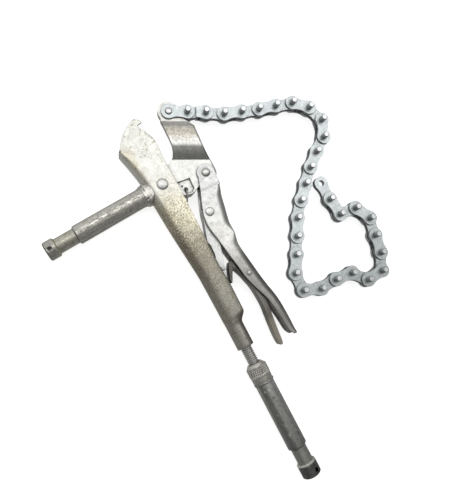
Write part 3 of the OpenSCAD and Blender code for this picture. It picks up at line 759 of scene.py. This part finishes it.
def channel(name, stations, thick, body, mat, cutters=(), bevel=0.5):
    """A sheet bent to a channel through stations in order of falling y."""
    verts, faces, rows = [], [], []
    for s in stations:
        top = half_contour(s)
        n = len(top)
        row_top, row_low = [], []
        for x, z in top:
            row_top.append(len(verts))
            verts.append((x, s["y"], z))
        for k, (x, z) in enumerate(top):
            if k == n - 1 and not s.get("plate"):
                row_low.append(row_top[-1])
            else:
                row_low.append(len(verts))
                verts.append((x, s["y"], -z))
        rows.append((row_top, row_low))
    for (ta, la), (tb, lb) in zip(rows, rows[1:]):
        n = min(len(ta), len(tb))
        for k in range(n - 1):
            faces.append((ta[k], ta[k + 1], tb[k + 1], tb[k]))
            faces.append((la[k + 1], la[k], lb[k], lb[k + 1]))
    obj = make(name, verts, faces, None, mat)
    bm = bmesh.new()
    bm.from_mesh(obj.data)
    bmesh.ops.remove_doubles(bm, verts=bm.verts, dist=1e-7)
    bm.faces.ensure_lookup_table()
    tops = [f for f in bm.faces if f.calc_center_median().z > (OZ + 4) * MM]
    if sum(f.normal.z * f.calc_area() for f in tops) < 0:
        bmesh.ops.reverse_faces(bm, faces=bm.faces[:])
    bm.to_mesh(obj.data)
    bm.free()
    sol = obj.modifiers.new("sheet", "SOLIDIFY")
    sol.thickness = thick * MM
    sol.offset = -1.0
    sol.use_even_offset = True
    for c in cutters:
        cut = obj.modifiers.new("cut", "BOOLEAN")
        cut.operation = "DIFFERENCE"
        cut.solver = "EXACT"
        cut.object = c
    if bevel:
        bev = obj.modifiers.new("edges", "BEVEL")
        bev.width = bevel * MM
        bev.segments = 2
        bev.limit_method = "ANGLE"
        bev.angle_limit = math.radians(50)
    bake(obj, 50.0)
    for c in cutters:
        bpy.data.objects.remove(c)
    if body:
        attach(obj, body)
    return obj


def cutter(x, y, r, reach, turn, half):
    """A round-ended slot through the sheet."""
    verts, faces = [], []
    pts = []
    for i in range(25):
        a = math.pi / 2 + math.pi * i / 24
        pts.append((r * math.cos(a), r * math.sin(a)))
    pts += [(reach, -r), (reach, r)]
    c, s = math.cos(math.radians(turn)), math.sin(math.radians(turn))
    n = len(pts)
    for z in (-half, half):
        for px, py in pts:
            verts.append((x + c * px - s * py, y + s * px + c * py, z))
    faces.append(tuple(range(n - 1, -1, -1)))
    faces.append(tuple(range(n, 2 * n)))
    for i in range(n):
        j = (i + 1) % n
        faces.append((i, j, n + j, n + i))
    mesh = bpy.data.meshes.new("slot_tool")
    mesh.from_pydata([at(*v) for v in verts], [], faces)
    obj = bpy.data.objects.new("slot_tool", mesh)
    obj.hide_render = True
    scene.collection.objects.link(obj)
    return obj


# ---------------------------------------------------------------- fixed handle

back_line = line([(37.5, -19.8), (10.9, -14.6), (-37.1, -11.5), (-80.3, -7.6), (-110, -7.1), (-147, -6.9)])
front_line = line([(60, 3), (58.3, 4.1), (56.4, 6.8), (53.6, 8.6), (47.4, 7.6), (45.6, 7.4), (43, 8.6), (39.6, 10.4), (36, 11.4), (32, 11.7), (20, 11.2), (9, 10.9), (-18.5, 11.2), (-56.8, 10.8), (-79.5, 10.6), (-95.8, 11.7), (-121, 11.4), (-147, 11.4)])
crown_line = line([(37.5, -19.8), (40.6, -17.3), (46.8, -13), (50.9, -9), (54.3, -4.7), (57.2, 0), (58.3, 4.0), (60, 6)])


def handle_stations():
    out = []
    for k in range(17):
        y = 58.25 - (58.25 - 38.2) * k / 16
        out.append({"y": y, "free": front_line(y, 0.6), "web": crown_line(y, 0.6), "h": 8.3, "r": 1.0, "plate": True})
    y = 37.6
    while y > -119.0:
        r = 2.6 + 2.4 * smooth((37.6 - y) / 12.0) + 2.6 * smooth((37.6 - y) / 55.0)
        roll = 1.5 * smooth((-42.0 - y) / 26.0)
        out.append({"y": y, "free": front_line(y, 2.0), "web": back_line(y), "h": 8.3, "r": r, "roll": roll})
        y -= 2.6
    y = -119.0
    while y >= -147.01:
        w = smooth((-119.0 - y) / 9.5)
        r = 7.6 - 0.6 * w
        out.append(
            {
                "y": y,
                "free": 11.4,
                "web": back_line(y),
                "h": 8.3,
                "r": r,
                "tube": w,
                "roll": 1.5,
                "round": (0.2, 7.1, 7.1),
            }
        )
        y -= 0.8 if y > -130 else 2.8
    return out


handle = channel(
    "handle_shell",
    handle_stations(),
    2.3,
    "fixed_handle",
    handle_mat,
    cutters=[cutter(6.2, 50.0, 2.69, 12.0, 12.0, 12.0)],
)
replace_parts(handle, "handle_body", "rear_nut")

# ---------------------------------------------------------------- lever

lever_free = line([(-157.8, 41.2), (-156.9, 39.7), (-155.3, 38.3), (-152.5, 37.1), (-138, 36), (-121, 33.4), (-108, 28.5), (-97.9, 25.4), (-81.6, 22.9), (-58, 19.3), (-51, 17.8), (-44.9, 17.3), (-39.5, 17.8), (-33, 19.5), (-27, 21.8), (-18.6, 25.2), (-17.5, 25.7)])
lever_web = line([(-157.8, 42.7), (-145, 43.6), (-124.8, 43.0), (-103.6, 38.9), (-71.1, 34.6), (-55.3, 35.5), (-34, 40.2), (-17.5, 43.5)])


def lever_stations():
    out = []
    bx, by, br = 36.8, -6.0, 7.4

    def height(y):
        return 8.6 - 0.75 * smooth((y + 20.6) / 4.6)

    for k in range(9):
        a = math.radians(86 - 86 * k / 8)
        y = by + br * math.sin(a)
        half = br * math.cos(a)
        out.append({"y": y, "free": bx - half, "web": bx + half, "h": 7.85, "r": 0.5, "plate": True})
    y = by - 1.2
    while y > -16.4:
        t = (by - 1.2 - y) / (by - 1.2 + 17.5)
        out.append({"y": y, "free": 29.5 + (25.7 - 29.5) * t, "web": 44.2 + (43.6 - 44.2) * t, "h": 7.85, "r": 0.5, "plate": True})
        y -= 2.3
    for y in (-16.4, -17.0, -17.6, -18.2, -18.8, -19.4):
        out.append({"y": y, "free": lever_free(max(y, -17.5 + (y + 17.5)), 0.5) if y < -17.5 else 25.7 + (y + 17.5) * 0.4, "web": lever_web(y, 0.5), "h": height(y), "r": 0.5, "plate": True})
    y = -19.8
    while y > -157.9:
        r = 3.4 + 4.8 * smooth((-20.2 - y) / 9.0) - 6.0 * bump(y, -60.0, 11.0)
        tail = smooth((-128.0 - y) / 20.0)
        out.append({"y": y, "free": lever_free(y, 3.0), "web": lever_web(y, 5.0), "h": height(y) - 0.8 * tail, "r": min(r, 0.8 * abs(lever_web(y, 5.0) - lever_free(y, 3.0)))})
        y -= 0.7 if y > -22 else 2.2
    return out


lever = channel("lever_shell", lever_stations(), 1.9, "lever", lever_mat, bevel=0.5)
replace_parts(lever, "lever_handle")

# ---------------------------------------------------------------- release lever


def rounded(points, times=2):
    """Cuts the corners of a closed outline."""
    for _ in range(times):
        out = []
        n = len(points)
        for i in range(n):
            (x0, y0), (x1, y1) = points[i], points[(i + 1) % n]
            out.append((0.75 * x0 + 0.25 * x1, 0.75 * y0 + 0.25 * y1))
            out.append((0.25 * x0 + 0.75 * x1, 0.25 * y0 + 0.75 * y1))
        points = out
    return points


def prism(name, outline, half, mat):
    n = len(outline)
    verts = [(x, y, -half) for x, y in outline] + [(x, y, half) for x, y in outline]
    faces = [tuple(range(n - 1, -1, -1)), tuple(range(n, 2 * n))]
    faces += [(i, (i + 1) % n, n + (i + 1) % n, n + i) for i in range(n)]
    obj = make(name, verts, faces, None, mat, 40.0)
    bm = bmesh.new()
    bm.from_mesh(obj.data)
    bmesh.ops.recalc_face_normals(bm, faces=bm.faces[:])
    bm.to_mesh(obj.data)
    bm.free()
    return obj


def release():
    outline = [
        (19.3, -80.1), (21.4, -80.3), (23.5, -81.2), (28, -86), (33.5, -92), (34.1, -96), (34, -99), (32.6, -108), (32.7, -117),
        (32.6, -125.3), (30.3, -141), (29.0, -152), (28.6, -157), (27.9, -159.2), (26.6, -159.9), (25.4, -159.1), (24.9, -156),
        (25.2, -148), (26.4, -136), (28, -123.9), (27.6, -114), (26.7, -105.2), (24, -95), (21, -87.5), (19.9, -87.2), (18.5, -88.2),
        (14.3, -96.4), (13.5, -96.6), (13.2, -95.6), (13.5, -92.7), (16.1, -85.8),
    ]
    hollow = [(22.6, -88), (25.6, -95), (28.2, -105), (29.1, -114), (29.5, -124), (28.2, -135), (60, -135), (60, -88)]
    obj = prism("release_shell", rounded(outline), 5.2, release_mat)
    tool = prism("hollow_tool", hollow, 3.7, release_mat)
    tool.hide_render = True
    bev = obj.modifiers.new("edges", "BEVEL")
    bev.width = 1.3 * MM
    bev.segments = 4
    bev.limit_method = "ANGLE"
    bev.angle_limit = math.radians(50)
    cut = obj.modifiers.new("cut", "BOOLEAN")
    cut.operation = "DIFFERENCE"
    cut.solver = "EXACT"
    cut.object = tool
    bake(obj, 45.0)
    bpy.data.objects.remove(tool)
    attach(obj, "release")
    return obj


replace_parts(release(), "release_lever")

# ---------------------------------------------------------------- screw, knob and weld


def lathe(name, profile, place, body, mat, turns=72, angle=30.0, swell=None):
    """Surface of revolution: profile is (distance, radius), place maps (distance, u, v) to mm."""
    verts, faces = [], []
    for i, (d, r) in enumerate(profile):
        for k in range(turns):
            a = 2 * math.pi * k / turns
            rr = r + (swell(i, d, a) if swell else 0.0)
            verts.append(place(d, rr * math.cos(a), rr * math.sin(a)))
    for i in range(len(profile) - 1):
        for k in range(turns):
            j = (k + 1) % turns
            faces.append((i * turns + k, i * turns + j, (i + 1) * turns + j, (i + 1) * turns + k))
    faces.append(tuple(range(turns - 1, -1, -1)))
    last = (len(profile) - 1) * turns
    faces.append(tuple(last + k for k in range(turns)))
    obj = make(name, verts, faces, None, mat, angle)
    bm = bmesh.new()
    bm.from_mesh(obj.data)
    bmesh.ops.recalc_face_normals(bm, faces=bm.faces[:])
    bm.to_mesh(obj.data)
    bm.free()
    obj.data.set_sharp_from_angle(angle=math.radians(angle))
    if body:
        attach(obj, body)
    return obj


def on_screw(d, u, v):
    return (u, d, v)


def thread():
    """Helical thread on the adjusting screw, from the tip to inside the knob."""
    pitch, r_out, r_in = 1.5875, 4.76, 3.95
    turns, steps = 24.5, 40
    y0 = -125.2
    form = [(0.0, r_in), (0.18, r_in), (0.42, r_out), (0.58, r_out), (0.82, r_in), (1.0, r_in)]
    verts, faces = [], []
    count = int(turns * steps)
    for i in range(count + 1):
        a = 2 * math.pi * i / steps
        fade = min(1.0, i / 20.0)
        for f, r in form:
            rr = r_in + (r - r_in) * fade
            y = y0 - pitch * (i / steps + f)
            verts.append((rr * math.cos(a), y, -rr * math.sin(a)))
    n = len(form)
    for i in range(count):
        for k in range(n - 1):
            faces.append((i * n + k, i * n + k + 1, (i + 1) * n + k + 1, (i + 1) * n + k))
    obj = make("screw_thread", verts, faces, None, thread_mat, 25.0)
    bm = bmesh.new()
    bm.from_mesh(obj.data)
    bmesh.ops.remove_doubles(bm, verts=bm.verts, dist=1e-7)
    f = max(bm.faces, key=lambda q: q.calc_area())
    c = f.calc_center_median()
    if f.normal.x * (c.x - OX * MM) + f.normal.z * (c.z - OZ * MM) < 0:
        bmesh.ops.reverse_faces(bm, faces=bm.faces[:])
    bm.to_mesh(obj.data)
    bm.free()
    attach(obj, "screw")
    return obj


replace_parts(thread(), "adjusting_screw")
core = lathe("screw_core", [(-123.5, 3.0), (-124.4, 3.9), (-176.4, 3.9)], on_screw, "screw", thread_mat, 40)
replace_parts(core, "adjusting_screw")


def knurl(i, d, a):
    if not -171.8 < d < -164.9:
        return 0.0
    n, lead = 28, 2.0 * math.pi / 2.1
    edge = min(1.0, (-164.9 - d) / 0.5, (d + 171.8) / 0.5)
    p = abs(((n * a + lead * d) / (2 * math.pi)) % 1.0 - 0.5) * 2.0
    q = abs(((n * a - lead * d) / (2 * math.pi)) % 1.0 - 0.5) * 2.0
    return -0.5 * edge * max(1.0 - 1.9 * p, 1.0 - 1.9 * q, 0.0)


knob_profile = [(-164.63, 8.1), (-164.9, 8.75)]
d = -164.95
while d > -171.9:
    knob_profile.append((d, 8.75))
    d -= 0.19
knob_profile += [(-172.2, 8.75), (-172.6, 8.45), (-172.9, 8.4), (-175.4, 8.4), (-176.6, 8.25), (-177.9, 8.1)]
knob = lathe("knob", knob_profile, on_screw, "screw", knob_mat, 272, 60.0, knurl)
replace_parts(knob, "knurled_knob")


def bead(i, d, a):
    lump = 0.16 * math.sin(9 * a + 0.7) + 0.1 * math.sin(17 * a + 2.0) + 0.08 * math.sin(5 * a)
    return lump if -179.4 < d < -177.8 else 0.0


weld = lathe(
    "knob_weld_bead",
    [(-177.5, 7.9), (-177.8, 8.35), (-178.2, 8.6), (-178.7, 8.65), (-179.1, 8.5), (-179.4, 8.2), (-179.6, 7.9)],
    on_screw,
    "screw",
    rear_mat,
    96,
    60.0,
    bead,
)
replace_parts(weld, "knob_weld")

side_dir = (math.cos(math.radians(185)), math.sin(math.radians(185)))


def on_side(d, u, v):
    """d along the side spigot from its root, u across in the ground plane, v up."""
    return (-13.7 + side_dir[0] * d - side_dir[1] * u, -1.0 + side_dir[1] * d + side_dir[0] * u, v)


def side_weld():
    """Rounded weld bead at the root of the side spigot, kept within the handle's width."""
    verts, faces = [], []
    turns, rings = 96, 30
    for i in range(rings + 1):
        t = i / rings
        d = -4.2 + 9.0 * t
        swell = 1.75 * math.sin(math.pi * min(1.0, 0.08 + 0.92 * t)) ** 0.7
        for k in range(turns):
            a = 2 * math.pi * k / turns
            lump = 0.22 * math.sin(7 * a + 5 * t) + 0.2 * math.sin(13 * a + 2.0 + 3 * t) + 0.16 * math.sin(23 * a + 9 * t)
            waist = 0.55 * math.exp(-(((d - 1.8 - 0.3 * math.sin(3 * a)) / 0.55) ** 2))
            r = 7.97 + swell + lump * min(1.0, 4 * t * (1.0 - t) + 0.2) - waist
            u, v = r * math.cos(a), r * math.sin(a)
            lim = 8.75 + 0.12 * math.sin(6 * a)
            if abs(v) > lim - 1.5:
                v = math.copysign(lim - 1.5 + 1.5 * math.tanh((abs(v) - lim + 1.5) / 1.5), v)
            verts.append(on_side(d, u, v))
    for i in range(rings):
        for k in range(turns):
            j = (k + 1) % turns
            faces.append((i * turns + k, i * turns + j, (i + 1) * turns + j, (i + 1) * turns + k))
    obj = make("side_weld_bead", verts, faces, None, weld_mat, 50.0)
    bm = bmesh.new()
    bm.from_mesh(obj.data)
    bmesh.ops.recalc_face_normals(bm, faces=bm.faces[:])
    bm.to_mesh(obj.data)
    bm.free()
    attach(obj, "fixed_handle")
    return obj


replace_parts(side_weld(), "spigot_weld")

# ---------------------------------------------------------------- spring


def tube_along(name, path, radius, mat, sides=8):
    verts, faces = [], []
    n = len(path)
    up = Vector((0, 0, 1))
    frames = []
    for i, p in enumerate(path):
        d = (Vector(path[min(n - 1, i + 1)]) - Vector(path[max(0, i - 1)])).normalized()
        side = d.cross(up)
        if side.length < 1e-3:
            side = d.cross(Vector((1, 0, 0)))
        side.normalize()
        frames.append((Vector(p), side, side.cross(d).normalized()))
    for p, a, b in frames:
        for k in range(sides):
            t = 2 * math.pi * k / sides
            q = p + a * (radius * math.cos(t)) + b * (radius * math.sin(t))
            verts.append(tuple(q))
    for i in range(n - 1):
        for k in range(sides):
            j = (k + 1) % sides
            faces.append((i * sides + k, i * sides + j, (i + 1) * sides + j, (i + 1) * sides + k))
    faces.append(tuple(range(sides)))
    faces.append(tuple((n - 1) * sides + k for k in range(sides - 1, -1, -1)))
    obj = make(name, verts, faces, None, mat, 60.0)
    bm = bmesh.new()
    bm.from_mesh(obj.data)
    bmesh.ops.recalc_face_normals(bm, faces=bm.faces[:])
    bm.to_mesh(obj.data)
    bm.free()
    return obj


def spring():
    """Extension spring from the hole in the jaw to the tab in the handle."""
    path = [(16.3, -11.2, -3.0), (16.3, -11.2, 3.2), (16.3, -11.3, 5.2), (15.9, -12.4, 6.0), (14.9, -15.0, 6.0), (13.4, -18.4, 5.6), (11.0, -22.6, 4.0)]
    a, b = Vector((8.4, -27.0, 0.0)), Vector((1.2, -56.5, 0.0))
    axis = (b - a).normalized()
    side = axis.cross(Vector((0, 0, 1))).normalized()
    coils, steps, r = 19, 14, 2.5
    for i in range(coils * steps + 1):
        t = i / (coils * steps)
        ang = 2 * math.pi * coils * t + math.pi / 2
        p = a + (b - a) * t + side * (r * math.cos(ang)) + Vector((0, 0, r * math.sin(ang)))
        path.append(tuple(p))
    path += [(0.2, -58.5, 1.8), (-0.6, -60.4, 1.4), (-1.0, -62.0, 0.2), (-0.6, -62.8, -1.2)]
    obj = tube_along("jaw_spring_wire", path, 0.65, spring_mat)
    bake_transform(obj)
    return obj


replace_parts(spring(), "jaw_spring")

# ---------------------------------------------------------------- CAD pieces that show

look = {
    "side_spigot": (side_mat, 0.3),
    "main_pivot_rivet": (rivet_mat, 0.0),
    "moving_jaw": (jaw_mat, 1.6),
    "chain_anchor_rivet": (zinc_mat, 0.0),
    "jaw_lever_rivet": (rivet_mat, 0.0),
    "link_rivet": (rivet_mat, 0.0),
    "release_rivet": (stud_mat, 0.0),
    "toggle_link": (bright_mat, 0.8),
    "link_stud": (stud_mat, 0.0),
    "knob_cone": (knob_mat, 0.2),
    "rear_spigot": (rear_mat, 0.3),
}
for k in range(1, 32):
    look["chain_link_%02d" % k] = (zinc_mat, 0.55)

for name, (mat, width) in look.items():
    o = nodes[name]
    o.data.materials.clear()
    o.data.materials.append(mat)
    bpy.context.view_layer.objects.active = o
    bpy.ops.mesh.customdata_custom_splitnormals_clear()
    for p in o.data.polygons:
        p.use_smooth = True
    w = o.modifiers.new("weld", "WELD")
    w.merge_threshold = 1e-6
    if width:
        b = o.modifiers.new("bevel", "BEVEL")
        b.width = width * MM
        b.segments = 2
        b.limit_method = "ANGLE"
        b.angle_limit = math.radians(40)
        b.use_clamp_overlap = True
    wn = o.modifiers.new("normals", "WEIGHTED_NORMAL")
    wn.keep_sharp = False
    wn.weight = 60
for name, o in nodes.items():
    if name not in look:
        o.data.materials.clear()
        o.data.materials.append(bright_mat)

# ---------------------------------------------------------------- floor and light


def make_floor():
    mesh = bpy.data.meshes.new("floor")
    s = 3.0
    mesh.from_pydata([(-s, -s, -0.0004), (s, -s, -0.0004), (s, s, -0.0004), (-s, s, -0.0004)], [], [(0, 1, 2, 3)])
    floor = bpy.data.objects.new("floor", mesh)
    scene.collection.objects.link(floor)
    mat = bpy.data.materials.new("floor_white")
    mat.use_nodes = True
    bsdf = mat.node_tree.nodes["Principled BSDF"]
    bsdf.inputs["Base Color"].default_value = (0.92, 0.92, 0.92, 1)
    bsdf.inputs["Roughness"].default_value = 0.9
    bsdf.inputs["Specular IOR Level"].default_value = 0.1
    bsdf.inputs["Emission Color"].default_value = (1, 1, 1, 1)
    bsdf.inputs["Emission Strength"].default_value = 0.72
    mesh.materials.append(mat)
    floor.visible_glossy = False


make_floor()


def area(name, pos, target, size, energy, colour=(1, 1, 1), size_y=None):
    data = bpy.data.lights.new(name, "AREA")
    data.shape = "RECTANGLE"
    data.size = size
    data.size_y = size_y or size
    data.energy = energy
    data.color = colour
    o = bpy.data.objects.new(name, data)
    scene.collection.objects.link(o)
    d = Vector(target) - Vector(pos)
    o.matrix_world = Matrix.Translation(Vector(pos)) @ d.to_track_quat("-Z", "Y").to_matrix().to_4x4()
    return o


area("top_box", (0.43, 0.345, 1.14), (0.3, 0, 0), 1.9, 5.5, (1, 1, 1), 0.8)

world = bpy.data.worlds.new("studio") if scene.world is None else scene.world
scene.world = world
world.use_nodes = True
wt = world.node_tree
wt.nodes.clear()
w_out = node(wt, "ShaderNodeOutputWorld")
w_bg = node(wt, "ShaderNodeBackground")
link(wt, w_bg.outputs[0], w_out.inputs["Surface"])
w_co = node(wt, "ShaderNodeTexCoord")
w_sep = node(wt, "ShaderNodeSeparateXYZ")
link(wt, w_co.outputs["Generated"], w_sep.inputs[0])
w_pos = math_node(wt, "MULTIPLY_ADD", w_sep.outputs["Z"], 0.5, 0.5)
w_side = math_node(wt, "MULTIPLY_ADD", w_sep.outputs["Y"], 0.5, 0.5)


def sky(stops):
    return ramp(wt, w_pos, [(at_z, (g, g, 0.985 * g)) for at_z, g in stops])


w_col = mix(
    wt,
    w_side,
    sky([(0.0, 0.30), (0.36, 0.24), (0.5, 0.14), (0.70, 0.10), (0.875, 0.22), (0.97, 0.5)]),
    sky([(0.0, 0.36), (0.36, 0.40), (0.5, 0.55), (0.70, 0.56), (0.875, 0.50), (0.97, 0.5)]),
)
link(wt, w_col, w_bg.inputs["Color"])
w_bg.inputs["Strength"].default_value = 1.0
